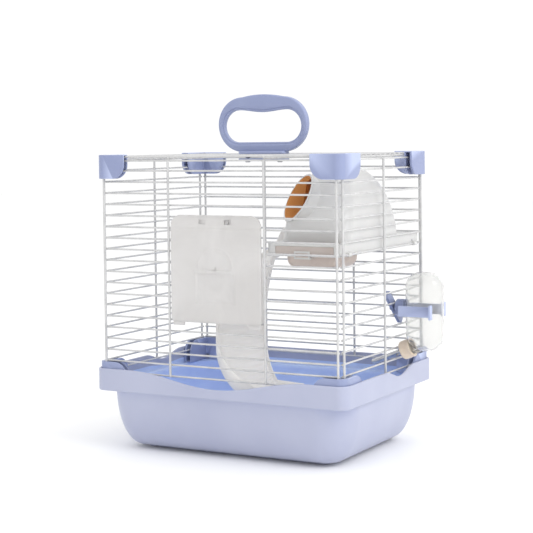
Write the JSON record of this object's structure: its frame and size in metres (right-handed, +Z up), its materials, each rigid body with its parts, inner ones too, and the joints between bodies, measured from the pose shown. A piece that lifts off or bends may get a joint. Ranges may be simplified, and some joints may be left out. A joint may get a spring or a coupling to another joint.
{
  "type": "hamster cage",
  "caption": "Wire hamster cage on a moulded tray, with a carrying handle, flap door, raised floor with bowl, domed hut, curved slide and water bottle.",
  "frame": {"origin": "centre of the tray's footprint, on the surface it stands on", "axes": "+Z up, -Y towards the front with the door, +X towards the side with the water bottle"},
  "size_m": [0.3432, 0.222, 0.381],
  "materials": {
    "blue_plastic": "satin",
    "white_wire": "gloss coated",
    "milky_plastic": "satin, slightly translucent",
    "white_plastic": "satin",
    "clear_plastic": "clear",
    "beige_plastic": "satin",
    "tube_steel": "polished",
    "screw_steel": "plated"
  },
  "bodies": {
    "tray": {"tray": "blue_plastic"},
    "cage": {"front_panel": "white_wire", "back_panel": "white_wire", "left_panel": "white_wire", "right_panel": "white_wire", "top_panel": "white_wire", "top_bracket_front_left": "blue_plastic", "top_bracket_front_right": "blue_plastic", "top_bracket_back_left": "blue_plastic", "top_bracket_back_right": "blue_plastic", "bottom_bracket_front_left": "blue_plastic", "bottom_bracket_front_right": "blue_plastic", "bottom_bracket_back_left": "blue_plastic", "bottom_bracket_back_right": "blue_plastic", "handle": "blue_plastic", "handle_clip_plate": "blue_plastic", "handle_screws": "screw_steel", "platform": "milky_plastic", "hut": "white_plastic", "slide": "white_plastic", "bottle_holder": "blue_plastic", "clamp_screw": "screw_steel"},
    "door": {"door": "milky_plastic"},
    "food_bowl": {"food_bowl": "milky_plastic"},
    "clamp_wing": {"clamp_wing": "blue_plastic"},
    "bottle": {"bottle": "clear_plastic"},
    "cap": {"bottle_cap": "beige_plastic", "sipper_tube": "tube_steel"},
    "ball": {"sipper_ball": "tube_steel"}
  },
  "joints": [
    {"name": "cage_lift", "type": "slide", "parent": "tray", "child": "cage", "axis": [0, 0, 1], "range_m": [0, 0.12]},
    {"name": "door_hinge", "type": "hinge", "parent": "cage", "child": "door", "pos_m": [0, -0.10295, 0.252], "axis": [-1, 0, 0], "range_deg": [0, 110]},
    {"name": "bowl_unclip", "type": "slide", "parent": "cage", "child": "food_bowl", "axis": [0, 0, -1], "range_m": [0, 0.03]},
    {"name": "wing_turn", "type": "hinge", "parent": "cage", "child": "clamp_wing", "pos_m": [0.137, 0.035, 0.151], "axis": [1, 0, 0], "range_deg": [-47, 43]},
    {"name": "bottle_pull", "type": "slide", "parent": "cage", "child": "bottle", "axis": [0.9272, 0, 0.3746], "range_m": [0, 0.06]},
    {"name": "cap_turn", "type": "hinge", "parent": "bottle", "child": "cap", "pos_m": [0.16, 0.035, 0.1098], "axis": [-0.9272, 0, -0.3746], "continuous": true},
    {"name": "ball_push", "type": "slide", "parent": "cap", "child": "ball", "axis": [0.9272, 0, 0.3746], "range_m": [0, 0.0015]}
  ]
}
